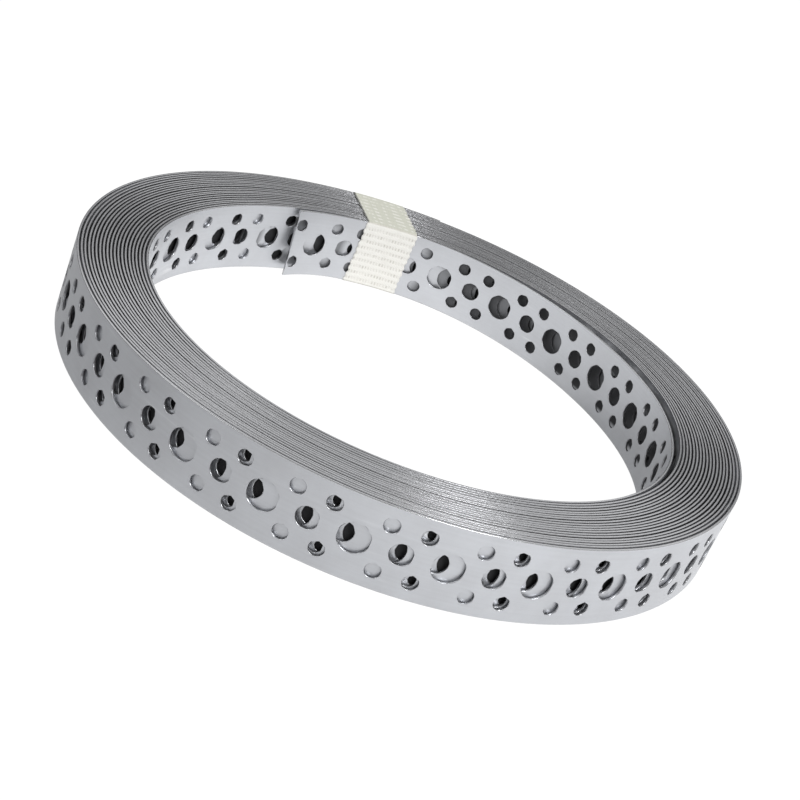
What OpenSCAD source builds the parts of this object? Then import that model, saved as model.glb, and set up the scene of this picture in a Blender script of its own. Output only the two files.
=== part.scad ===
// Coil of perforated steel strap, bound with a white tape.
// The strap winds clockwise and outwards, seen from above, as half turns about two centres.
// The coil lies flat: its axis is Z and its lower end is just above Z = 0, on the tape.

/* [Strap] */
// Width of the strap, which is the height of the coil
strap_w = 20; // [12:0.5:30]
// Thickness of the strap
strap_t = 0.75; // [0.5:0.05:1.5]

/* [Coil] */
// Inside diameter of the first half turn
bore_d = 136.66; // [100:0.01:240]
// Whole turns in the coil
turns = 20; // [6:1:30]
// Air between one turn and the next
wind_gap = 0.102; // [0.1:0.001:0.6]
// Depth to which that air shows on the two ends of the coil
edge_depth = 1; // [0.3:0.1:2]
// Direction of the inner end of the strap
inner_end_deg = 131.5; // [0:0.5:359]
// How far the strap runs on past its last whole turn
tail_deg = 36; // [30:1:90]

/* [Holes] */
// Length of strap in which the holes repeat
hole_pitch = 20; // [18:0.1:40]
// Diameter of the bolt holes
large_d = 7; // [5:0.1:8]
// Diameter of the screw holes halfway between bolt holes
medium_d = 5; // [4:0.1:6]
// Diameter of the nail holes
small_d = 3.4; // [2:0.1:3.8]
// Distance along the strap from a bolt hole to the nail holes beside it
small_step = 6; // [5.8:0.1:6.6]
// Distance between the two rows of nail holes
small_rows = 11.2; // [8:0.1:13]
// Length of strap before the first bolt hole
first_large = 7.98; // [7.9:0.01:12]

/* [Binding tape] */
// Width of the tape
tape_w = 15.8; // [8:0.1:25]
// Thickness of the tape
tape_t = 0.25; // [0.2:0.05:1]
// Direction of the middle of the tape, on the inner face
tape_deg = 107.2; // [0:0.1:359]
// How far the tape slants across the ends of the coil
tape_slant_deg = 7; // [0:1:15]

/* [Hidden] */
$fn = 96;

pitch = strap_t + wind_gap;
half_pitch = pitch / 2;
bore_r = bore_d / 2;
coil_z = tape_t;

// Inside radius of half turn j, counted from the inner end
function half_turn_r(j) = bore_r + j * half_pitch;
// Length of strap that lies in half turn j, along its middle
function half_turn_len(j) = PI * (half_turn_r(j) + strap_t / 2);
// Length of strap before half turn j
function len_before(j) = PI * (j * (bore_r + strap_t / 2) + half_pitch * j * (j - 1) / 2);
// Centre of half turn j: the odd ones sit half a pitch towards the inner end
function half_turn_x(j) = (j % 2) * half_pitch;
// Angle swept in half turn j by a point that lies s along the strap
function sweep_deg(j, s) = 180 * (s - len_before(j)) / half_turn_len(j);

// Everything that follows the strap is drawn with the inner end on +X
module from_inner_end() {
    translate([0, 0, coil_z]) rotate(inner_end_deg) children();
}

// Section through a set of turns: plain in the middle and combed at both ends
module turns_section(r, n) {
    lower = [for (k = [0:n - 1]) each [
        if (k > 0) [r + k * pitch, edge_depth],
        [r + k * pitch, 0],
        [r + k * pitch + strap_t, 0],
        if (k < n - 1) [r + k * pitch + strap_t, edge_depth]
    ]];
    upper = [for (i = [len(lower) - 1:-1:0]) [lower[i][0], strap_w - lower[i][1]]];
    polygon(concat(lower, upper));
}

// The even half turns lie on one side of the line through the inner end, the odd ones on the other.
// Where the strap runs on past its last whole turn, the even side has one turn more.
module wound_strap() {
    mirror([0, 1, 0])
        rotate_extrude(angle = tail_deg) turns_section(half_turn_r(0), turns + 1);
    rotate(180)
        rotate_extrude(angle = 180 - tail_deg) turns_section(half_turn_r(0), turns);
    translate([half_turn_x(1), 0, 0])
        rotate_extrude(angle = 180) turns_section(half_turn_r(1), turns);
}

// A round cut from the outer face of half turn j, s along the strap and up from its middle
module outside_hole(j, s, up, d) {
    outer_r = half_turn_r(j) + strap_t;
    translate([half_turn_x(j), 0, strap_w / 2 + up])
        rotate(-180 * (j % 2) - sweep_deg(j, s))
            rotate([0, 90, 0])
                translate([0, 0, outer_r - pitch]) cylinder(d = d, h = pitch + strap_t);
}

// The same from the inner face
module inside_hole(j, s, up, d) {
    translate([half_turn_x(j), 0, strap_w / 2 + up])
        rotate(-180 * (j % 2) - sweep_deg(j, s))
            rotate([0, 90, 0])
                translate([0, 0, half_turn_r(j) - strap_t]) cylinder(d = d, h = pitch + strap_t);
}

// Where each hole of one repeat lies: along the strap, up from its middle, and its diameter
HOLES = [
    [0, 0, large_d],
    [hole_pitch / 2, 0, medium_d],
    for (along = [small_step, hole_pitch - small_step], side = [-1, 1])
        [along, side * small_rows / 2, small_d]
];
// The repeats whose holes lie from one place to another along the strap
function holes_between(s0, s1) = [
    for (n = [floor((s0 - first_large) / hole_pitch) - 1:ceil((s1 - first_large) / hole_pitch)], h = HOLES)
        let (s = first_large + n * hole_pitch + h[0])
            if (s >= s0 && s < s1) [s, h[1], h[2]]
];

module outside_holes(j, s0, s1) {
    for (h = holes_between(s0, s1)) outside_hole(j, h[0], h[1], h[2]);
}

module inside_holes(j, s0, s1) {
    for (h = holes_between(s0, s1)) inside_hole(j, h[0], h[1], h[2]);
}

last = 2 * turns - 1;
// Length of strap up to the place that the outer end covers, and up to that end
under_tail = len_before(last - 1) + half_turn_len(last - 1) * tail_deg / 180;
strap_len = len_before(last + 1) + half_turn_len(last + 1) * tail_deg / 180;

module strap_coil() {
    color("lightsteelblue")
        from_inner_end()
            difference() {
                wound_strap();
                inside_holes(0, small_d / 2 + 0.2, len_before(1));
                inside_holes(1, len_before(1), len_before(2));
                outside_holes(last - 1, under_tail + large_d / 2, len_before(last));
                outside_holes(last, len_before(last), len_before(last + 1));
                outside_holes(last + 1, len_before(last + 1), strap_len - small_d);
            }
}

module binding_tape() {
    inner_r = bore_r;
    outer_r = half_turn_r(2 * turns) + strap_t;
    color("ivory")
        translate([0, 0, coil_z])
            intersection() {
                rotate(tape_deg - 30)
                    rotate_extrude(angle = 60)
                        difference() {
                            translate([inner_r - tape_t, -tape_t])
                                square([outer_r - inner_r + 2 * tape_t, strap_w + 2 * tape_t]);
                            translate([inner_r, 0]) square([outer_r - inner_r, strap_w]);
                        }
                rotate(tape_deg) translate([inner_r, 0, 0])
                    rotate(tape_slant_deg) translate([-inner_r / 2, -tape_w / 2, -2 * tape_t])
                        cube([outer_r, tape_w, strap_w + 4 * tape_t]);
            }
}

strap_coil();
binding_tape();
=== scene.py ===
"""Coil of perforated steel strap with a woven binding tape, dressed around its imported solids."""

import logging
import math
from dataclasses import dataclass, field
from enum import Enum
from typing import Any, Mapping, NamedTuple, Sequence

import bpy
import numpy as np
from mathutils import Matrix, Vector
from mathutils.geometry import delaunay_2d_cdt


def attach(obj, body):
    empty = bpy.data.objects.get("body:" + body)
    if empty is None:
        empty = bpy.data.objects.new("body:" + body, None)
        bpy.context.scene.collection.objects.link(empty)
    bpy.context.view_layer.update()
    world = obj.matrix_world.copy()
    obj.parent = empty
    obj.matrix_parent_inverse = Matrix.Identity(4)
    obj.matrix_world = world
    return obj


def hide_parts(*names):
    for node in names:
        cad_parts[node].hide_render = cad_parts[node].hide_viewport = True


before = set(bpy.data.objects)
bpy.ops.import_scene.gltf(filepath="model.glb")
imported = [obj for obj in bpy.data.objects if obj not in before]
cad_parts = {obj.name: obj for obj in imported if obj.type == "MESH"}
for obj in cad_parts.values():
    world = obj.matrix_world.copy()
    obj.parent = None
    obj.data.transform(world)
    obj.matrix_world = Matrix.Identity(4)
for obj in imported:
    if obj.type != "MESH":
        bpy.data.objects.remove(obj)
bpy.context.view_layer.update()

LOG = logging.getLogger("strap_coil")
MM = 0.001
# Sizes in millimetres that several pieces share. The strap stands on the tape that goes below it.
STRAP_WIDTH = 20.0
TAPE_THICK = 0.25

Colour = tuple[float, float, float]
# Where a ramp starts and stops, and its value before and past them
Ramp = tuple[float, float, float, float]


class Face(Enum):
    """The two broad faces of the strap."""

    OUTER = 1
    INNER = -1


class Hole(Enum):
    """The three kinds of hole, with the number of sides that draws each one."""

    BOLT = 44
    SCREW = 36
    NAIL = 26


class Cut(Enum):
    """How a face was made, as the share of bare sheared metal in its look."""

    ZINC = 0.0
    WALL = 0.5
    SHEARED = 1.0


class Punched(NamedTuple):
    """One hole in the flat strap: its place along, height, radius and number of sides."""

    along: float
    up: float
    radius: float
    sides: int


class Sock:
    """One output socket, or a number, that shader expressions are written with."""

    def __init__(self, sheet: "NodeSheet", link: Any) -> None:
        """Keep the sheet of nodes and the socket."""
        self.sheet = sheet
        self.link = link

    def _math(self, operation: str, *terms: Any) -> "Sock":
        """Add one Math node.

        Args:
            operation: The node's operation.
            terms: Its values or links, in order.

        Returns:
            The node's result.
        """
        return self.sheet.node("ShaderNodeMath", {"operation": operation}, dict(enumerate(terms)))

    def __add__(self, other: Any) -> "Sock":
        """Add."""
        return self._math("ADD", self, other)

    __radd__ = __add__

    def __sub__(self, other: Any) -> "Sock":
        """Subtract."""
        return self._math("SUBTRACT", self, other)

    def __rsub__(self, other: Any) -> "Sock":
        """Subtract from a number."""
        return self._math("SUBTRACT", other, self)

    def __mul__(self, other: Any) -> "Sock":
        """Multiply."""
        return self._math("MULTIPLY", self, other)

    def at_least(self, other: Any) -> "Sock":
        """The larger of two values."""
        return self._math("MAXIMUM", self, other)

    def above(self, edge: float, width: float) -> "Sock":
        """A soft step.

        Args:
            edge: Where the step starts.
            width: How far it takes to reach 1.

        Returns:
            0 below the edge, rising to 1.
        """
        return self.sheet.node(
            "ShaderNodeMapRange",
            {"interpolation_type": "SMOOTHSTEP"},
            {"Value": self, "From Min": edge, "From Max": edge + width},
        )

    def between(self, start: float, stop: float, low: float, high: float) -> "Sock":
        """A straight ramp that is level on both sides.

        Args:
            start: Where it starts.
            stop: Where it stops.
            low: Its value before the start.
            high: Its value past the stop.

        Returns:
            The value on the ramp.
        """
        return self.sheet.node(
            "ShaderNodeMapRange",
            None,
            {"Value": self, "From Min": start, "From Max": stop, "To Min": low, "To Max": high},
        )


class NodeSheet:
    """The node tree of one material or of the world."""

    def __init__(self, tree: bpy.types.NodeTree) -> None:
        """Start from an empty tree."""
        self.tree = tree
        tree.nodes.clear()

    def node(
        self,
        kind: str,
        settings: Mapping[str, Any] | None = None,
        inputs: Mapping[Any, Any] | None = None,
        out: Any = 0,
    ) -> Sock:
        """Add a node.

        Args:
            kind: The node's type.
            settings: Properties, which are set first.
            inputs: Values or links of its sockets, by name or number.
            out: The output that is wanted, by name or number.

        Returns:
            That output.
        """
        made = self.tree.nodes.new(kind)
        for key, value in (settings or {}).items():
            setattr(made, key, value)
        for key, value in (inputs or {}).items():
            if isinstance(value, Sock):
                self.tree.links.new(value.link, made.inputs[key])
            else:
                made.inputs[key].default_value = value
        return Sock(self, made.outputs[out] if len(made.outputs) else None)

    def mix(self, factor: Any, first: Any, second: Any) -> Sock:
        """Mix two colours.

        Args:
            factor: Share of the second colour.
            first: A colour or a link.
            second: A colour or a link.

        Returns:
            The mixed colour.
        """
        return self.node(
            "ShaderNodeMix",
            {"data_type": "RGBA"},
            {0: factor, 6: _rgba(first), 7: _rgba(second)},
            out=2,
        )

    def vector(self, x: Any, y: Any, z: Any) -> Sock:
        """Put three values together as a vector."""
        return self.node("ShaderNodeCombineXYZ", None, {"X": x, "Y": y, "Z": z})

    def split(self, vector: Sock) -> list[Sock]:
        """Take a vector apart into its three values."""
        x = self.node("ShaderNodeSeparateXYZ", None, {"Vector": vector})
        return [Sock(self, output) for output in x.link.node.outputs]

    def attribute(self, name: str) -> Sock:
        """A number that is set on the mesh."""
        return self.node("ShaderNodeAttribute", {"attribute_name": name}, out="Fac")

    def noise(self, place: Sock, scale: float, detail: float = 3.0, roughness: float = 0.5) -> Sock:
        """Fractal noise from 0 to 1.

        Args:
            place: Where it is read.
            scale: Repeats per unit of place.
            detail: Octaves.
            roughness: Weight of the finer octaves.

        Returns:
            The value.
        """
        return self.node(
            "ShaderNodeTexNoise",
            {"noise_dimensions": "3D"},
            {"Vector": place, "Scale": scale, "Detail": detail, "Roughness": roughness},
        )

    def bump(self, height: Sock, distance: float, strength: float = 1.0) -> Sock:
        """A normal bent by a height, which is given in units of distance."""
        return self.node(
            "ShaderNodeBump", None, {"Height": height, "Distance": distance, "Strength": strength}, out="Normal"
        )

    def surface(self, **sockets: Any) -> None:
        """Finish the material with one Principled shader.

        Args:
            sockets: Its sockets, with underscores for spaces.
        """
        shader = self.node(
            "ShaderNodeBsdfPrincipled", None, {k.replace("_", " "): v for k, v in sockets.items()}
        )
        self.node("ShaderNodeOutputMaterial", None, {"Surface": shader})


def _rgba(colour: Any) -> Any:
    """A colour with its alpha, or a link as it is."""
    return colour if isinstance(colour, Sock) else (*colour, 1.0)


def new_material(name: str) -> tuple[bpy.types.Material, NodeSheet]:
    """Make a material, and the empty sheet of its nodes."""
    material = bpy.data.materials.new(name)
    material.use_nodes = True
    return material, NodeSheet(material.node_tree)


@dataclass(frozen=True)
class GalvanisedSteel:
    """Thin hot-dip zinc on rolled strip: pale, satin, faintly mottled, with rubbed streaks along it, and painted
    shade between the turns and in the holes.
    """

    zinc: Colour = (0.60, 0.615, 0.645)
    dull: Colour = (0.53, 0.54, 0.565)
    rubbed: Colour = (0.78, 0.79, 0.81)
    cut_edge: Colour = (0.44, 0.44, 0.45)
    # Colour of the painted shade between the turns and in the holes
    unlit: Colour = (0.06, 0.06, 0.063)
    metallic: float = 0.9
    roughness: float = 0.40
    relief: float = 0.012 * MM

    def make(self, name: str) -> bpy.types.Material:
        """Build the material.

        Args:
            name: The material's name.

        Returns:
            The material.
        """
        material, n = new_material(name)
        uv = n.node("ShaderNodeUVMap", {"uv_map": "strap"})
        along, across, _ = n.split(uv)
        cut = n.attribute("cut_edge")
        painted_shade = n.attribute("painted_shade").above(0, 1)
        cloud = n.noise(uv, 70, detail=5, roughness=0.6)
        rolled = n.noise(n.vector(along * 14, across * 1500, 0), 1, detail=3, roughness=0.6)
        streak = n.noise(n.vector(along * 40, across * 420, 3), 1, detail=3).above(0.60, 0.14)
        patch = n.noise(uv, 22, detail=2).above(0.52, 0.14)
        rubbed = streak * patch
        tone = cloud * 0.7 + rolled * 0.3
        colour = n.mix(tone.above(0.3, 0.4), self.dull, self.zinc)
        colour = n.mix(rubbed * 0.7, colour, self.rubbed)
        sheared = n.noise(n.vector(along * 260, across * 60, 7), 1, detail=3)
        colour = n.mix(cut * (0.45 + sheared * 0.5), colour, self.cut_edge)
        # Painted shade: the colour goes towards unlit between the turns and in the holes, as the mesh marks it
        colour = n.mix(painted_shade, colour, self.unlit)
        rough = self.roughness + (tone - 0.5) * 0.18 - rubbed * 0.10 - cut * 0.24 + painted_shade * 0.4
        height = rolled * 0.4 + cloud * 0.6 + rubbed * 0.4 + cut * sheared
        n.surface(
            Base_Color=colour,
            Metallic=self.metallic,
            Roughness=rough,
            Normal=n.bump(height, self.relief),
        )
        return material


@dataclass(frozen=True)
class WovenTape:
    """White ribbed woven tape, thin enough on the coil's ends for the turns below to print through. Painted shade
    lies in its rib valleys, on the coil's ends and along its folds, with a painted shadow along one edge.
    """

    yarn: Colour = (0.86, 0.85, 0.81)
    # Darker yarn colour: painted shade in the rib valleys and along the folds, and also real stains
    shade: Colour = (0.50, 0.48, 0.43)
    # On the coil's ends: the turns showing through the tape, and painted shade
    see_through_and_shade: Colour = (0.55, 0.56, 0.47)
    # A painted shadow along one edge of the tape on the coil's ends
    edge_shadow: Colour = (0.16, 0.16, 0.15)
    dot: float = 0.9 * MM
    thread: float = 0.45 * MM
    half_width: float = 7.9 * MM
    roughness: float = 0.72
    sheen: float = 0.12
    relief: float = 0.05 * MM
    relief_share: float = 0.8

    def make(self, name: str) -> bpy.types.Material:
        """Build the material.

        Args:
            name: The material's name.

        Returns:
            The material.
        """
        material, n = new_material(name)
        uv = n.node("ShaderNodeUVMap", {"uv_map": "tape"})
        round_loop, across, _ = n.split(uv)
        end = n.attribute("on_end")
        crest = n.attribute("crest")
        dots = self.wave(n, across, self.dot).above(0.35, 0.4)
        threads = self.wave(n, across + round_loop * 0.12, self.thread)
        fuzz = n.noise(uv, 1500, detail=3)
        stain = n.noise(uv, 160, detail=3)
        # Painted shade in the valleys between the ribs, stronger in patchy dots where the weave dips; the threads
        # and fuzz are the yarn's own colour
        valley = (1 - crest).above(0.25, 0.5)
        dot_patches = n.noise(uv, 420, detail=2).above(0.38, 0.3)
        valley_shade_and_weave = valley * (0.10 + dots * dot_patches * 0.5) + threads * 0.12 + fuzz * 0.16
        colour = n.mix(valley_shade_and_weave, self.yarn, self.shade)
        # On the coil's ends the tape greys where the turns show through and carries painted shade, lighter in dashes
        # on the rib crests
        dash = n.noise(n.vector(across * 700, round_loop * 60, 0), 1, detail=2).above(0.45, 0.12)
        colour = n.mix(end * (0.85 - dash * crest.above(0.8, 0.15) * 0.55), colour, self.see_through_and_shade)
        colour = n.mix(stain.above(0.55, 0.3) * 0.14, colour, self.shade)
        # Painted shadow: a dark line along one edge of the tape on the coil's ends
        at_edge_shadow = across.above(self.half_width * 0.9, self.half_width * 0.08)
        colour = n.mix(end * at_edge_shadow, colour, self.edge_shadow)
        # Painted shadow along the tape's folds round the corners of the coil's section
        colour = n.mix(end * (1 - end) * 2.4, colour, self.shade)
        height = threads * 0.5 + fuzz * 0.5 - valley * dots
        n.surface(
            Base_Color=colour,
            Roughness=self.roughness + fuzz * 0.16,
            Normal=n.bump(height, self.relief, self.relief_share),
            Sheen_Weight=self.sheen,
        )
        return material

    @staticmethod
    def wave(n: NodeSheet, place: Sock, period: float) -> Sock:
        """A sine wave from 0 to 1 along a place."""
        phase = place * (2 * math.pi / period)
        return n.node("ShaderNodeMath", {"operation": "SINE"}, {0: phase}) * 0.5 + 0.5


@dataclass
class Winding:
    """The strap's path: half turns about two centres, clockwise and outwards from the inner end."""

    bore_r: float = 68.33
    thick: float = 0.75
    gap: float = 0.102
    turns: int = 20
    inner_end: float = 131.5
    tail: float = 36.0
    lift: float = TAPE_THICK
    width: float = STRAP_WIDTH
    flap: float = 3.0
    flap_to: float = 20.0
    flap_bend: float = 1.7
    twist: float = 0.85
    end_tilt: float = 1.4
    end_tilt_to: float = 25.0
    slack: float = 2.5
    slack_from: float = 40.0
    slack_peak: float = 110.0
    slack_to: float = 210.0
    lean: float = 2.1
    lean_at: float = 107.0
    lean_reach: float = 88.0
    # How far the turns lie in, in which direction and how far to its sides
    loose: tuple[tuple[float, float, float], ...] = ((1.9, 140.0, 50.0), (1.0, 30.0, 75.0))
    # Height, length and phase of the waves that keep the turns from lying all alike
    wobble: tuple[tuple[float, float, float], ...] = ((0.012, 61.0, 0.0), (0.008, 23.7, 1.3))
    rise: tuple[tuple[float, float, float], ...] = ((0.05, 437.0, 0.4), (0.03, 171.0, 0.0))
    # Half the distance over which slopes are measured
    probe: float = 0.05

    def __post_init__(self) -> None:
        """Work out the pitch, the length of strap before each half turn, and the creep along the path."""
        self.pitch = self.thick + self.gap
        j = np.arange(2 * self.turns + 3)
        self.before = math.pi * (
            j * (self.bore_r + self.thick / 2) + self.pitch / 2 * j * (j - 1) / 2
        )
        self.outer_r = self.bore_r + self.turns * self.pitch + self.thick
        third = self.turn(self.turns - 2)
        self.slips = (
            (0, -0.4), (25, -0.4), (60, 0), (216, 0), (340, -3.0), (434, -3.2), (474, -3.3), (544, -4.6),
            (593, -6.4), (651, -7.8), (830, -12.4), (1320, -12.8), (4000, 0),
            (third - 1300, 0), (third - 900, -1.0), (third - 40, -1.0), (third, 0),
        )

    def turn(self, number: int) -> float:
        """Length of strap before a whole turn, counted from 0 at the inner end."""
        return float(self.before[2 * number])

    @property
    def length(self) -> float:
        """Length of the whole strap."""
        middle = self.bore_r + self.turns * self.pitch + self.thick / 2
        return self.turn(self.turns) + math.radians(self.tail) * middle

    def inward(self, s: np.ndarray, z: np.ndarray) -> np.ndarray:
        """How far the strap stands in from its path: its free inner end, and the slack turn past the tape.

        Args:
            s: Distance along the strap from its inner end.
            z: Height up the strap's width: the free end twists, and stands in least at its top.

        Returns:
            That distance at each place.
        """
        flap = self.flap * np.clip(1 - s / self.flap_to, 0, 1) ** self.flap_bend
        flap = flap * (1 - self.twist * z / self.width)
        rise = np.clip((s - self.slack_from) / (self.slack_peak - self.slack_from), 0, 1)
        fall = np.clip((self.slack_to - s) / (self.slack_to - self.slack_peak), 0, 1)
        return flap + self.slack * np.sin(math.pi / 2 * rise) ** 2 * np.sin(math.pi / 2 * fall) ** 2

    def slip(self, s: np.ndarray) -> np.ndarray:
        """How far the strap has crept along its path, as its turns are not all equally tight.

        Args:
            s: Distance along the strap from its inner end.

        Returns:
            That distance at each place.
        """
        places, amounts = zip(*self.slips)
        return np.interp(s, places, amounts)

    @staticmethod
    def waves(s: np.ndarray, shapes: Sequence[tuple[float, float, float]]) -> np.ndarray:
        """Add up waves along the strap.

        Args:
            s: Distance along the strap from its inner end.
            shapes: Height, length and phase of each wave.

        Returns:
            Their sum at each place.
        """
        return sum(high * np.sin(s / length + phase) for high, length, phase in shapes)

    def settle(self, points: np.ndarray) -> tuple[np.ndarray, np.ndarray]:
        """Let the back of the coil lean in, its upper edges most and its outer turns not at all.

        Args:
            points: Places in the tight, upright coil.

        Returns:
            Places in the coil as it lies, and the slope of its walls there.
        """
        r = np.hypot(points[..., 0], points[..., 1])
        angle = np.degrees(np.arctan2(points[..., 1], points[..., 0]))
        depth = np.clip((self.outer_r - r) / (self.outer_r - self.bore_r), 0, 1.05)

        def near(middle: float, reach: float) -> np.ndarray:
            away = np.abs((angle - middle + 180) % 360 - 180)
            return np.cos(np.radians(90 * np.clip(away / reach, 0, 1)))

        slope = depth * self.lean / self.width * near(self.lean_at, self.lean_reach)
        inward = slope * np.clip(points[..., 2] - self.lift, 0, self.width)
        for amount, middle, reach in self.loose:
            inward += depth * amount * near(middle, reach) ** 2
        moved = points.copy()
        moved[..., :2] *= (1 - inward / r)[..., None]
        return moved, slope

    def place(self, s: np.ndarray, z: np.ndarray, n: np.ndarray) -> tuple[np.ndarray, np.ndarray, np.ndarray]:
        """Bend the flat strap onto its path.

        Args:
            s: Distance along the strap from its inner end.
            z: Height up the strap's width.
            n: Distance out from its inner face.

        Returns:
            Points in metres, and the unit vectors outwards and along the strap at each.
        """
        j = np.clip(np.searchsorted(self.before, s, side="right") - 1, 0, 2 * self.turns)
        r = self.bore_r + j * self.pitch / 2
        crept = self.slip(s) - self.end_tilt * np.clip(1 - s / self.end_tilt_to, 0, 1) * z / self.width
        swept = (s + crept - self.before[j]) / (r + self.thick / 2)
        start = math.radians(self.inner_end)
        angle = start - math.pi * (j % 2) - swept
        out = np.stack([np.cos(angle), np.sin(angle), np.zeros_like(angle)], axis=-1)
        tangent = np.stack([np.sin(angle), -np.cos(angle), np.zeros_like(angle)], axis=-1)
        h = self.probe
        slope = (self.inward(s + h, z) - self.inward(s - h, z)) / (2 * h)
        twist = (self.inward(s, z + h) - self.inward(s, z - h)) / (2 * h)
        radius = r + n - self.inward(s, z) + self.waves(s, self.wobble)
        shift = ((j % 2) * self.pitch / 2)[..., None] * np.array([math.cos(start), math.sin(start), 0.0])
        points = shift + radius[..., None] * out
        points[..., 2] = self.lift + z + self.waves(s, self.rise)
        points, tilt = self.settle(points)
        outward = out + slope[..., None] * tangent
        outward[..., 2] = tilt + twist
        outward /= np.linalg.norm(outward, axis=-1, keepdims=True)
        return points * MM, outward, tangent


@dataclass
class Punching:
    """The pattern of holes in the flat strap."""

    pitch: float = 20.0
    bolt_d: float = 7.0
    screw_d: float = 5.0
    nail_d: float = 3.4
    nail_step: float = 6.0
    nail_rows: float = 11.2
    first: float = 7.98
    seam: float = 4.0
    margin: float = 0.2

    def repeat(self, k: int, width: float, coarse: int) -> list[Punched]:
        """The holes of the repeat that ends just past bolt hole k.

        Args:
            k: Number of the bolt hole.
            width: The strap's width.
            coarse: 1 for holes that are seen whole, 2 for those that are glimpsed through them.

        Returns:
            The holes.
        """
        bolt = self.first + k * self.pitch
        start = bolt - self.pitch
        screw = start + self.pitch / 2
        holes = [
            Punched(bolt, width / 2, self.bolt_d / 2, Hole.BOLT.value // coarse),
            Punched(screw, width / 2, self.screw_d / 2, Hole.SCREW.value // coarse),
        ]
        for along in (start + self.nail_step, bolt - self.nail_step):
            for side in (-1, 1):
                up = width / 2 + side * self.nail_rows / 2
                holes.append(Punched(along, up, self.nail_d / 2, Hole.NAIL.value // coarse))
        return holes


@dataclass
class FlatPiece:
    """Points of one stretch of flat strap, with its faces and the way that each corner looks."""

    points: list[tuple[float, float, float]] = field(default_factory=list)
    corners: list[int] = field(default_factory=list)
    looks: list[tuple[float, float, float]] = field(default_factory=list)
    cuts: list[float] = field(default_factory=list)
    sides: list[int] = field(default_factory=list)

    def add(self, s: float, z: float, n: float) -> int:
        """Add a point and return its number."""
        self.points.append((s, z, n))
        return len(self.points) - 1

    def face(
        self, ring: Sequence[int], looks: Sequence[tuple[float, float, float]], cut: Cut = Cut.ZINC
    ) -> None:
        """Add a face.

        Args:
            ring: Its points in order.
            looks: The way that each corner looks, along, up and out.
            cut: How the face was made.
        """
        self.corners.extend(ring)
        self.looks.extend(looks)
        self.cuts.extend([cut.value] * len(ring))
        self.sides.append(len(ring))


@dataclass(frozen=True)
class GapShade:
    """Shade between the turns and in the holes, set along the strap to match the photograph.

    The second and third turns are seen through the holes and past the slack of the turn before them.
    Pairs are a place along the strap and the shade there, which is 0 in the open and 1 in the dark.
    """

    at_first: float = 0.1
    second: tuple[tuple[float, float], ...] = ((484, 0.1), (489, 0.75), (651, 0.75), (740, 0))
    third: tuple[tuple[float, float], ...] = (
        (877, 0.1), (883, 0.85), (915, 0.85), (925, 0.5), (1090, 0.7), (1200, 1),
    )
    # The rows of nail holes: how far up and down they start, and how their shade differs
    rows_up: float = 4.0
    rows_ahead: float = 8.0
    rows_ahead_from: float = 468.0
    rows_shade: float = 0.55
    rows_start: float = 2.0
    rows_to: float = 462.0
    # Width of the open edges, and the shade at the foot of their chamfers
    edge: float = 1.0
    foot: float = 0.65
    # Shade down a hole's wall, from its rim to the back, and how it differs in two parts of the first turn
    wall: tuple[float, float, float, float] = (0, 0.2, 0.6, 0.9)
    wall_change: float = 300.0
    wall_gain: float = 2.0
    wall_most: float = 0.95
    wall_loss: float = 0.3


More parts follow.
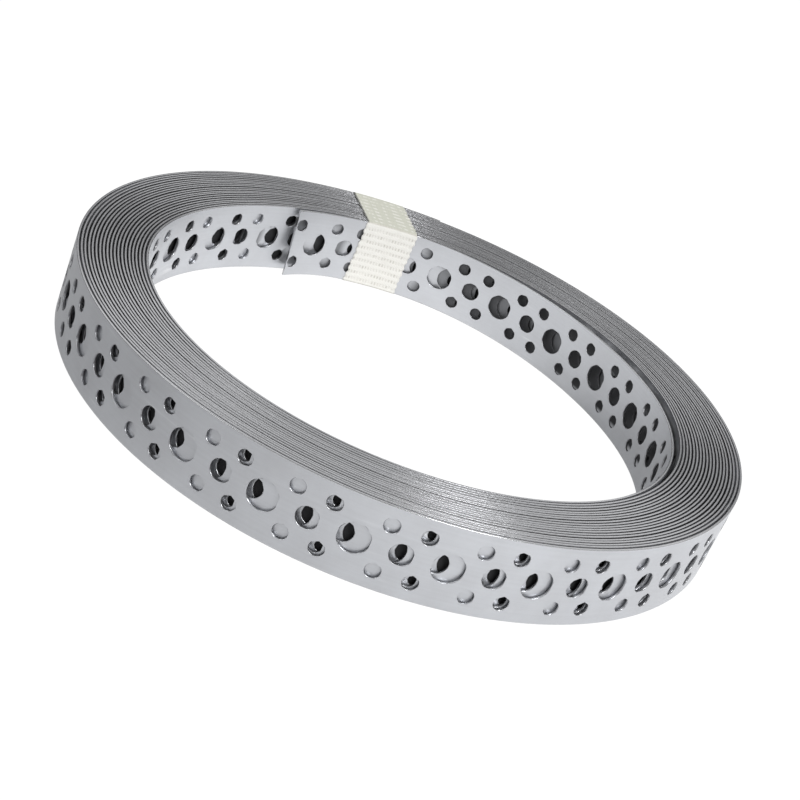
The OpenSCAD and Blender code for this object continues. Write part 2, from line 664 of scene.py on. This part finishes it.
@dataclass
class StrapCoil:
    """The strap itself, wound on its path and punched where the holes can be seen."""

    winding: Winding = field(default_factory=Winding)
    punching: Punching = field(default_factory=Punching)
    finish: GalvanisedSteel = field(default_factory=GalvanisedSteel)
    shade: GapShade = field(default_factory=GapShade)
    width: float = STRAP_WIDTH
    skin: float = 0.05
    edge: float = 0.2
    rim: float = 0.19
    outer_turns: int = 3
    inner_turns: int = 3
    steps: int = 8
    plain_steps: int = 6
    shaded: float = 2.1
    tiny: float = 1e-6

    def stretch(self, s0: float, s1: float, holes: Sequence[Punched], side: Face, steps: int) -> FlatPiece:
        """Lay out one stretch of strap.

        Args:
            s0: Where it starts along the strap.
            s1: Where it ends.
            holes: The holes in it.
            side: The face whose hole rims are rounded by the punch.
            steps: Number of steps along its edges.

        Returns:
            The stretch.
        """
        w, e = self.width, self.edge
        piece = FlatPiece()
        along = [s0 + (s1 - s0) * i / steps for i in range(steps + 1)]
        flat = [(s, e) for s in along] + [(s, w - e) for s in reversed(along)]
        m = len(flat)
        edges = [(i, (i + 1) % m) for i in range(m)]
        rings: list[tuple[int, Punched]] = []
        for hole in holes:
            first, count, grown = len(flat), hole.sides, hole.radius + self.rim
            rings.append((first, hole))
            flat += [(hole.along + grown * math.cos(a), hole.up + grown * math.sin(a)) for a in round_hole(count)]
            edges += [(first + i, first + (i + 1) % count) for i in range(count)]
        if self.winding.turn(1) < s1 < self.winding.turn(2):
            flat += [(s, z) for s in along for z in (self.shaded, w - self.shaded)]
        triangles = self._fill(flat, edges, holes)
        outer = [piece.add(s, z, self.winding.thick - self.skin) for s, z in flat]
        inner = [piece.add(s, z, self.skin) for s, z in flat]
        for a, b, c in triangles:
            piece.face((outer[a], outer[c], outer[b]), [(0, 0, 1)] * 3)
            piece.face((inner[a], inner[b], inner[c]), [(0, 0, -1)] * 3)
        self._edges(piece, along, outer, inner)
        for first, hole in rings:
            part = slice(first, first + hole.sides)
            self._wall(piece, outer[part], inner[part], hole, side)
        return piece

    def _fill(
        self, flat: Sequence[tuple[float, float]], edges: Sequence[tuple[int, int]], holes: Sequence[Punched]
    ) -> list[tuple[int, int, int]]:
        """Fill the flat outline with triangles, leaving the holes open.

        Args:
            flat: Its points.
            edges: The outline and the rings of the holes.
            holes: The holes.

        Returns:
            Triangles, anticlockwise.
        """
        origin = flat[0][0]
        near = [Vector((s - origin, z)) for s, z in flat]
        places, _, faces, sources, *_ = delaunay_2d_cdt(near, list(edges), [], 0, self.tiny)
        number = [src[0] for src in sources]
        kept = []
        for ring in faces:
            centre = sum((places[i] for i in ring), Vector((0.0, 0.0))) / len(ring)
            if all(math.hypot(centre.x + origin - h.along, centre.y - h.up) > h.radius for h in holes):
                a, b, c = (places[i] for i in ring)
                turn = (b - a).cross(c - a)
                ids = [number[i] for i in ring]
                kept.append(tuple(ids if turn > 0 else ids[::-1]))
        return kept

    def _edges(self, piece: FlatPiece, along: Sequence[float], outer: Sequence[int], inner: Sequence[int]) -> None:
        """Add the two rounded long edges.

        Args:
            piece: The stretch, which they are added to.
            along: The steps along it.
            outer: Numbers of its outer points: the lower edge forwards, then the upper edge backwards.
            inner: The same on the inner face.
        """
        w, e, m = self.width, self.edge, len(along)
        low, high = self.skin + e, self.winding.thick - self.skin - e
        for up in (-1, 1):
            z = w if up > 0 else 0.0
            pick = (lambda i: 2 * m - 1 - i) if up > 0 else (lambda i: i)
            rows = [
                [outer[pick(i)] for i in range(m)],
                [piece.add(s, z, high) for s in along],
                [piece.add(s, z, low) for s in along],
                [inner[pick(i)] for i in range(m)],
            ]
            looks = [(0, 0, 1), (0, up, 0), (0, up, 0), (0, 0, -1)]
            for r in range(3):
                for i in range(m - 1):
                    ring = [rows[r][i], rows[r][i + 1], rows[r + 1][i + 1], rows[r + 1][i]]
                    look = [looks[r], looks[r], looks[r + 1], looks[r + 1]]
                    if up < 0:
                        ring, look = ring[::-1], look[::-1]
                    piece.face(ring[::-1], look[::-1], Cut.SHEARED)

    def _wall(
        self, piece: FlatPiece, outer: Sequence[int], inner: Sequence[int], hole: Punched, side: Face
    ) -> None:
        """Add a hole's wall, with the rim that the punch rolls over.

        Args:
            piece: The stretch, which it is added to.
            outer: The hole's ring on the outer face.
            inner: Its ring on the inner face.
            hole: The hole.
            side: The face that the punch came from.
        """
        s, z, r, count = hole
        depth = self.skin + self.rim
        if side is Face.OUTER:
            depth = self.winding.thick - depth
        angles = round_hole(count)
        ring = [piece.add(s + r * math.cos(a), z + r * math.sin(a), depth) for a in angles]
        into = [(-math.cos(a), -math.sin(a), 0.0) for a in angles]
        top = (0, 0, 1) if side is Face.OUTER else None
        low = (0, 0, -1) if side is Face.INNER else None
        for i in range(count):
            k = (i + 1) % count
            looks = (into[i], into[k], top or into[k], top or into[i])
            piece.face((ring[i], ring[k], outer[k], outer[i]), looks, Cut.WALL)
            looks = (low or into[i], low or into[k], into[k], into[i])
            piece.face((inner[i], inner[k], ring[k], ring[i]), looks, Cut.WALL)

    def shown(self) -> tuple[float, float]:
        """Where the punched turns near the inner face stop, and where those near the outer face start.

        Returns:
            Both places along the strap.
        """
        wind = self.winding
        return wind.turn(self.inner_turns), wind.turn(wind.turns - self.outer_turns)

    def pieces(self) -> list[FlatPiece]:
        """Cut the strap into stretches of one repeat each, punched near its two faces and plain between.

        Returns:
            The stretches in order.
        """
        p, wind = self.punching, self.winding
        inner_to, outer_from = self.shown()
        made, start, k = [], 0.0, 0
        while start < wind.length - self.tiny:
            stop = min(p.first + k * p.pitch + p.seam, wind.length)
            inside, outside = start < inner_to, stop > outer_from
            coarse = 1 if start < wind.turn(1) or stop > wind.turn(wind.turns - 1) else 2
            holes = p.repeat(k, self.width, coarse) if inside or outside else []
            fit = [
                h
                for h in holes
                if start + h.radius + p.margin < h.along < stop - h.radius - p.margin
                and h.along < wind.length - p.nail_d
            ]
            side = Face.INNER if inside else Face.OUTER
            made.append(self.stretch(start, stop, fit, side, self.steps if holes else self.plain_steps))
            start, k = stop, k + 1
        return made + [self._end(0.0, -1.0), self._end(wind.length, 1.0)]

    def _end(self, s: float, look: float) -> FlatPiece:
        """Close one sheared end of the strap.

        Args:
            s: Where it is along the strap.
            look: -1 at the inner end, 1 at the outer end.

        Returns:
            The end's face.
        """
        w, e, a = self.width, self.edge, self.skin
        b = self.winding.thick - a
        piece = FlatPiece()
        outline = [(e, b), (w - e, b), (w, b - e), (w, a + e), (w - e, a), (e, a), (0.0, a + e), (0.0, b - e)]
        ring = [piece.add(s, z, n) for z, n in outline]
        piece.face(ring if look > 0 else ring[::-1], [(look, 0, 0)] * len(ring), Cut.SHEARED)
        return piece

    def painted_shade(self, flat: np.ndarray, cuts: np.ndarray) -> np.ndarray:
        """Painted shade at each corner: how little light reaches it between the turns and in the holes.

        Args:
            flat: Place along, height and depth of each corner.
            cuts: How the corner's face was made.

        Returns:
            0 in the open, 1 deep between turns. Open edges are below 0, so the shade ends short of them.
        """
        s, z, n = flat.T
        wind, look = self.winding, self.shade
        second, third = wind.turn(1), wind.turn(2)
        inner_to, outer_from = self.shown()
        sheared, wall = cuts == Cut.SHEARED.value, cuts == Cut.WALL.value
        up = np.abs(z - self.width / 2)
        rows = up > look.rows_up
        loose = [(second, look.at_first), *look.second, (third, 0), *look.third, (inner_to, 1), (inner_to + 1, 0)]
        ahead = np.where(rows & (s > look.rows_ahead_from), look.rows_ahead, 0)
        shade = np.interp(s + ahead, *zip(*loose)) * ~sheared
        shade[rows & ~sheared & (s > second + look.rows_start) & (s < look.rows_to)] = look.rows_shade
        shade[(up > self.width / 2 - look.edge) & (s > second) & (s < third)] *= -1
        shade[(s > inner_to) & (s < outer_from) & ~sheared] = 1
        inside = (n < self.skin + self.tiny) & (s > second)
        outside = (n > wind.thick - self.skin - self.tiny) & (s < wind.turn(wind.turns - 1))
        shade[sheared & (inside | outside)] = look.foot
        down = np.where(s < inner_to, n, wind.thick - n) - self.skin
        deep = np.interp(down, (0, self.rim, 2 * self.rim, 1), look.wall)
        early, late = s < look.wall_change, (s > look.wall_change) & (s < second)
        deep[early] = np.minimum(look.wall_gain * deep[early], look.wall_most)
        deep[late] *= look.wall_loss
        shade[wall] = np.maximum(shade, deep)[wall]
        return shade

    def build(self) -> bpy.types.Object:
        """Make the coil's mesh.

        Returns:
            The coil.
        """
        parts = self.pieces()
        shift = np.cumsum([0] + [len(p.points) for p in parts])
        flat = np.concatenate([np.array(p.points) for p in parts])
        corners = np.concatenate([np.array(p.corners) + o for p, o in zip(parts, shift)])
        looks = np.concatenate([np.array(p.looks, float) for p in parts])
        cuts = np.concatenate([np.array(p.cuts, float) for p in parts])
        sides = np.concatenate([np.array(p.sides) for p in parts])
        points, outward, tangent = self.winding.place(flat[:, 0], flat[:, 1], flat[:, 2])
        upward = np.array([0, 0, 1.0])
        looks = looks[:, :1] * tangent[corners] + looks[:, 1:2] * upward + looks[:, 2:] * outward[corners]
        looks /= np.linalg.norm(looks, axis=1, keepdims=True)
        strap = flat[corners][:, :2] * MM
        strap[:, 1] += flat[corners][:, 2] * MM
        _, keep, merged = np.unique(np.round(points, 7), axis=0, return_index=True, return_inverse=True)
        made = mesh_object("perforated_strap", points[keep], merged.ravel()[corners], sides)
        mesh = made.data
        layer = mesh.uv_layers.new(name="strap")
        layer.data.foreach_set("uv", strap.astype(np.float32).ravel())
        # The painted shade between the turns and in the holes goes on the mesh as a mark for the steel's material
        for name, value in (("cut_edge", cuts), ("painted_shade", self.painted_shade(flat[corners], cuts))):
            mark = mesh.attributes.new(name, "FLOAT", "CORNER")
            mark.data.foreach_set("value", value.astype(np.float32))
        mesh.normals_split_custom_set(looks.tolist())
        return made

    def dress(self, coil: bpy.types.Object) -> None:
        """Give the coil its finish and put it in place of its solid."""
        coil.data.materials.append(self.finish.make("galvanised_steel"))
        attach(coil, "root")
        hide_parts("strap_coil")


def round_hole(sides: int) -> list[float]:
    """Angles of the corners that draw a round hole."""
    return [2 * math.pi * (i + 0.5) / sides for i in range(sides)]


def mesh_object(name: str, points: np.ndarray, corners: np.ndarray, sides: np.ndarray) -> bpy.types.Object:
    """Make a smooth mesh object from arrays.

    Args:
        name: The object's name.
        points: Its points, in metres.
        corners: Point numbers of all faces, one face after the other.
        sides: Number of corners of each face.

    Returns:
        The object, linked to the scene.
    """
    mesh = bpy.data.meshes.new(name)
    mesh.vertices.add(len(points))
    mesh.vertices.foreach_set("co", np.asarray(points, np.float32).ravel())
    mesh.loops.add(len(corners))
    mesh.loops.foreach_set("vertex_index", np.asarray(corners, np.int32))
    mesh.polygons.add(len(sides))
    starts = np.concatenate([[0], np.cumsum(sides)[:-1]])
    mesh.polygons.foreach_set("loop_start", starts.astype(np.int32))
    mesh.polygons.foreach_set("use_smooth", np.ones(len(sides), bool))
    mesh.update(calc_edges=True)
    mesh.validate(clean_customdata=False)
    made = bpy.data.objects.new(name, mesh)
    bpy.context.scene.collection.objects.link(made)
    return made


@dataclass
class BindingTape:
    """The woven tape: one loop drawn tight round the coil's section."""

    winding: Winding = field(default_factory=Winding)
    finish: WovenTape = field(default_factory=WovenTape)
    width: float = 15.8
    thick: float = TAPE_THICK
    rib: float = 2.1
    rib_high: float = 0.06
    middle: float = 107.2
    slant: float = 7.0
    strap_w: float = STRAP_WIDTH
    corner: float = 0.45
    corner_steps: int = 6
    across: int = 26
    step: float = 0.19
    # How far the edges go in and out with the ribs, and how far they stray
    fray: float = 0.22
    stray: float = 0.10
    # Share of the half width at each edge over which the ribs fade
    fade: float = 0.06
    # Height of the inner face above the strap
    clear: float = 0.02
    flat_length: float = field(default=0.0, init=False)

    def loop(self) -> tuple[np.ndarray, np.ndarray]:
        """Follow the coil's section at the tape.

        Returns:
            Points of the section from the lower inner corner, as radius and height, and the way out at each.
        """
        r0, r1 = self.winding.bore_r, self.winding.outer_r
        z0, z1 = self.winding.lift, self.winding.lift + self.strap_w
        c = self.corner
        places: list[tuple[float, float]] = []
        outs: list[tuple[float, float]] = []
        sides = [
            ((r0, z0 + c), (r0, z1 - c), (-1, 0), (r0 + c, z1 - c)),
            ((r0 + c, z1), (r1 - c, z1), (0, 1), (r1 - c, z1 - c)),
            ((r1, z1 - c), (r1, z0 + c), (1, 0), (r1 - c, z0 + c)),
            ((r1 - c, z0), (r0 + c, z0), (0, -1), (r0 + c, z0 + c)),
        ]
        for number, (start, stop, out, pivot) in enumerate(sides):
            run = math.dist(start, stop)
            count = max(2, round(run / self.step))
            for i in range(count):
                f = i / count
                places.append((start[0] + (stop[0] - start[0]) * f, start[1] + (stop[1] - start[1]) * f))
                outs.append(out)
            turn = sides[(number + 1) % len(sides)][2]
            for i in range(self.corner_steps):
                a = math.pi / 2 * i / self.corner_steps
                o = (out[0] * math.cos(a) + turn[0] * math.sin(a), out[1] * math.cos(a) + turn[1] * math.sin(a))
                places.append((pivot[0] + c * o[0], pivot[1] + c * o[1]))
                outs.append(o)
        return np.array(places), np.array(outs)

    def laid(self, places: np.ndarray, outs: np.ndarray, y: np.ndarray, lift: np.ndarray) -> np.ndarray:
        """Lay one face of the tape round the coil.

        Args:
            places: Points of the coil's section.
            outs: The way out at each.
            y: Distance from the tape's middle, for each point of the section and across the tape.
            lift: Height above the coil, for the same points.

        Returns:
            The points.
        """
        r = places[:, :1] + outs[:, :1] * lift
        z = places[:, 1:] + outs[:, 1:] * lift
        aside = y + math.tan(math.radians(self.slant)) * (r - self.winding.bore_r)
        x = np.sqrt(r**2 - aside**2)
        a = math.radians(self.middle)
        east = x * math.cos(a) - aside * math.sin(a)
        north = x * math.sin(a) + aside * math.cos(a)
        return self.winding.settle(np.stack([east, north, z], -1))[0]

    @staticmethod
    def faces(rows: int, cols: int) -> np.ndarray:
        """Join two grids, which close round the loop, into one skin.

        Args:
            rows: Points round the loop.
            cols: Points across the tape.

        Returns:
            Point numbers of the four-sided faces. The inner grid's points come after the outer one's.
        """
        inner = rows * cols
        number = np.arange(inner).reshape(rows, cols)
        nxt = np.roll(number, -1, axis=0)
        top = np.stack([number[:, :-1], number[:, 1:], nxt[:, 1:], nxt[:, :-1]], -1).reshape(-1, 4)
        left = np.stack([number[:, 0], nxt[:, 0], nxt[:, 0] + inner, number[:, 0] + inner], -1)
        right = np.stack([nxt[:, -1], number[:, -1], number[:, -1] + inner, nxt[:, -1] + inner], -1)
        return np.concatenate([top, top[:, ::-1] + inner, left, right])

    def build(self) -> bpy.types.Object:
        """Make the tape's mesh: an outer face with ribs, a plain inner face and the two frayed edges.

        Returns:
            The tape.
        """
        places, outs = self.loop()
        gaps = np.linalg.norm(np.roll(places, -1, axis=0) - places, axis=1)
        run = np.concatenate([[0.0], np.cumsum(gaps)[:-1]])
        self.flat_length = float(gaps.sum())
        ribs = round(self.flat_length / self.rib)
        phase = 2 * math.pi * ribs * run / self.flat_length
        crest = np.clip(0.62 + 0.85 * np.cos(phase), 0, 1)
        end = np.abs(outs[:, 1]) ** 2
        high = self.rib_high * (1 - 0.65 * end)
        v = np.linspace(-1.0, 1.0, self.across + 1)
        edge = 0.5 * self.width + self.fray * (crest - 0.5) + self.stray * np.sin(phase * 0.37 + 1.0)
        y = edge[:, None] * v[None, :]
        soft = np.clip((1 - np.abs(v)) / self.fade, 0, 1)[None, :]
        proud = self.thick * 0.55 + (high * crest)[:, None] * (0.35 + 0.65 * soft)
        grids = [self.laid(places, outs, y, lift) for lift in (proud, np.full_like(proud, self.clear))]
        rows, cols = y.shape
        faces = self.faces(rows, cols)
        points = np.concatenate([g.reshape(-1, 3) for g in grids]) * MM
        made = mesh_object("woven_tape", points, faces.ravel(), np.full(len(faces), 4))
        mesh = made.data
        place = np.stack([np.repeat(run[:, None], cols, 1), y], -1).reshape(-1, 2) * MM
        place = np.concatenate([place, place])
        layer = mesh.uv_layers.new(name="tape")
        layer.data.foreach_set("uv", place[faces.ravel()].astype(np.float32).ravel())
        for name, value in (("crest", crest), ("on_end", end)):
            spread = np.tile(np.repeat(value[:, None], cols, 1).ravel(), 2)
            mark = mesh.attributes.new(name, "FLOAT", "POINT")
            mark.data.foreach_set("value", spread.astype(np.float32))
        return made

    def dress(self, tape: bpy.types.Object) -> None:
        """Give the tape its finish and put it in place of its solid."""
        tape.data.materials.append(self.finish.make("woven_tape"))
        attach(tape, "root")
        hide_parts("binding_tape")
        self.width * MM
        self.flat_length * MM


@dataclass
class Studio:
    """White floor, soft lamps and the camera of the photograph."""

    # The camera: distance in widths of the strap, angles in degrees, the rest in pixels
    strap_w: float = STRAP_WIDTH
    lift: float = TAPE_THICK
    away: float = 18.546
    elevation: float = 24.194
    pan: float = 4.86
    tilt: float = 32.39
    roll: float = 22.869
    focal: float = 1493.0
    pixels: float = 800.0
    # The floor: its half side, its grey, its glow to the camera and the share of that glow
    floor_half: float = 6.0
    floor_grey: float = 0.86
    floor_glow: float = 1.06
    floor_share: float = 0.93
    # The floor's glow in the steel, around the coil and within its bore
    rightwards: tuple[float, float] = (0.94, 0.34)
    bore: tuple[float, float] = (0.066, 0.006)
    around: Ramp = (-0.05, 0.085, 0.48, 1.10)
    within: Ramp = (-0.02, 0.035, 1.22, 0.46)
    # The room's light by height
    room_low: Ramp = (0.35, 0.49, 0.03, 1.35)
    room_high: Ramp = (0.56, 0.85, 1.0, 0.30)

    def camera(self) -> None:
        """Set up the camera, which is rolled because the photograph shows the coil leaning."""
        e, roll = math.radians(self.elevation), math.radians(self.roll)
        ahead = Vector((0, math.cos(e), -math.sin(e)))
        right = Vector((1, 0, 0))
        up = right.cross(ahead)
        look = (ahead + right * (self.pan / self.focal) - up * (self.tilt / self.focal)).normalized()
        side = look.cross(up).normalized()
        top = side.cross(look)
        side, top = (
            side * math.cos(roll) + top * math.sin(roll),
            top * math.cos(roll) - side * math.sin(roll),
        )
        data = bpy.data.cameras.new("camera")
        data.sensor_width = 36.0
        data.lens = self.focal / self.pixels * data.sensor_width
        data.clip_start, data.clip_end = 0.01, 20.0
        made = bpy.data.objects.new("camera", data)
        place = Vector((0, -self.away * math.cos(e), 0.5 + self.away * math.sin(e))) * self.strap_w * MM
        turn = Matrix((side, top, -look)).transposed()
        made.matrix_world = Matrix.Translation(place + Vector((0, 0, self.lift * MM))) @ turn.to_4x4()
        bpy.context.scene.collection.objects.link(made)
        bpy.context.scene.camera = made

    def lamp(self, name: str, place: Sequence[float], size: float, power: float) -> None:
        """Add a square soft lamp that looks at the coil.

        Args:
            name: Its name.
            place: Where it stands, in metres.
            size: Its side, in metres.
            power: Its power, in watts.
        """
        data = bpy.data.lights.new(name, "AREA")
        data.size, data.energy = size, power
        made = bpy.data.objects.new(name, data)
        made.visible_camera = False
        made.location = place
        made.rotation_euler = (-Vector(place)).to_track_quat("-Z", "Y").to_euler()
        bpy.context.scene.collection.objects.link(made)

    def floor(self) -> None:
        """Lay the floor: white to the camera, and in the steel a soft gradient.

        Around the coil it goes from dim left to bright right, and within the bore the other way.
        """
        half = self.floor_half
        corners = np.array([(-half, -half, 0), (half, -half, 0), (half, half, 0), (-half, half, 0)])
        made = mesh_object("floor", corners, np.arange(4), np.array([4]))
        material, n = new_material("floor")
        seen, sent_on = self.seen(n)
        place = n.node("ShaderNodeNewGeometry", None, None, out="Position")
        x, y, _ = n.split(place)
        rightwards = x * self.rightwards[0] - y * self.rightwards[1]
        away = n.node("ShaderNodeVectorMath", {"operation": "LENGTH"}, {0: place}, out="Value")
        inside = 1 - away.above(*self.bore)
        around = rightwards.between(*self.around)
        within = rightwards.between(*self.within)
        # Painted reflection: rays from the steel see the floor glow in this gradient, in place of the lit floor and
        # the coil's shadow on it
        glow = around + (within - around) * inside
        strength = seen * self.floor_glow + (1 - seen) * glow
        matt = n.node("ShaderNodeBsdfDiffuse", None, {"Color": _rgba([self.floor_grey] * 3)})
        white = n.node("ShaderNodeEmission", None, {"Color": (1, 1, 1, 1), "Strength": strength})
        share = (seen * self.floor_share).at_least(sent_on)
        mixed = n.node("ShaderNodeMixShader", None, {0: share, 1: matt, 2: white})
        n.node("ShaderNodeOutputMaterial", None, {"Surface": mixed})
        made.data.materials.append(material)

    @staticmethod
    def seen(n: NodeSheet) -> tuple[Sock, Sock]:
        """Two marks: 1 for rays from the camera, and 1 for rays that metal or glass sends on."""
        path = n.node("ShaderNodeLightPath", None, None, out="Is Camera Ray")
        outputs = path.link.node.outputs
        glossy = Sock(n, outputs["Is Glossy Ray"])
        return path, glossy.at_least(Sock(n, outputs["Is Transmission Ray"]))

    def world(self) -> None:
        """Fill the room with soft light, white to the camera, brightest halfway up, dark low down and dim on top."""
        world = bpy.data.worlds.new("studio")
        world.use_nodes = True
        bpy.context.scene.world = world
        n = NodeSheet(world.node_tree)
        seen, _ = self.seen(n)
        way = n.node("ShaderNodeTexCoord", None, None, out="Generated")
        _, _, z = n.split(way)
        room = z.between(*self.room_low) * z.between(*self.room_high)
        strength = seen + (1 - seen) * room
        shade = n.node("ShaderNodeBackground", None, {"Color": (1, 1, 1, 1), "Strength": strength})
        n.node("ShaderNodeOutputWorld", None, {"Surface": shade})

    def build(self) -> None:
        """Set up the whole studio."""
        bpy.context.scene.view_settings.view_transform = "Standard"
        self.camera()
        self.world()
        self.floor()
        self.lamp("key", (0.55, -0.75, 0.75), 0.45, 9.0)
        self.lamp("fill", (-0.8, -0.5, 0.6), 0.6, 2.0)


def triangles(piece: bpy.types.Object) -> int:
    """Number of triangles in a piece."""
    return sum(len(p.vertices) - 2 for p in piece.data.polygons)


def main() -> None:
    """Build the coil and its tape, dress them, and set up the studio."""
    logging.basicConfig(level=logging.INFO, format="%(name)s: %(message)s")
    strap = StrapCoil()
    coil = strap.build()
    strap.dress(coil)
    LOG.info("%s: %d triangles, %.3f m of strap", coil.name, triangles(coil), strap.winding.length * MM)
    binding = BindingTape(strap.winding)
    tape = binding.build()
    binding.dress(tape)
    LOG.info("%s: %d triangles, %.1f mm round", tape.name, triangles(tape), binding.flat_length)
    Studio().build()


if __name__ == "__main__":
    main()
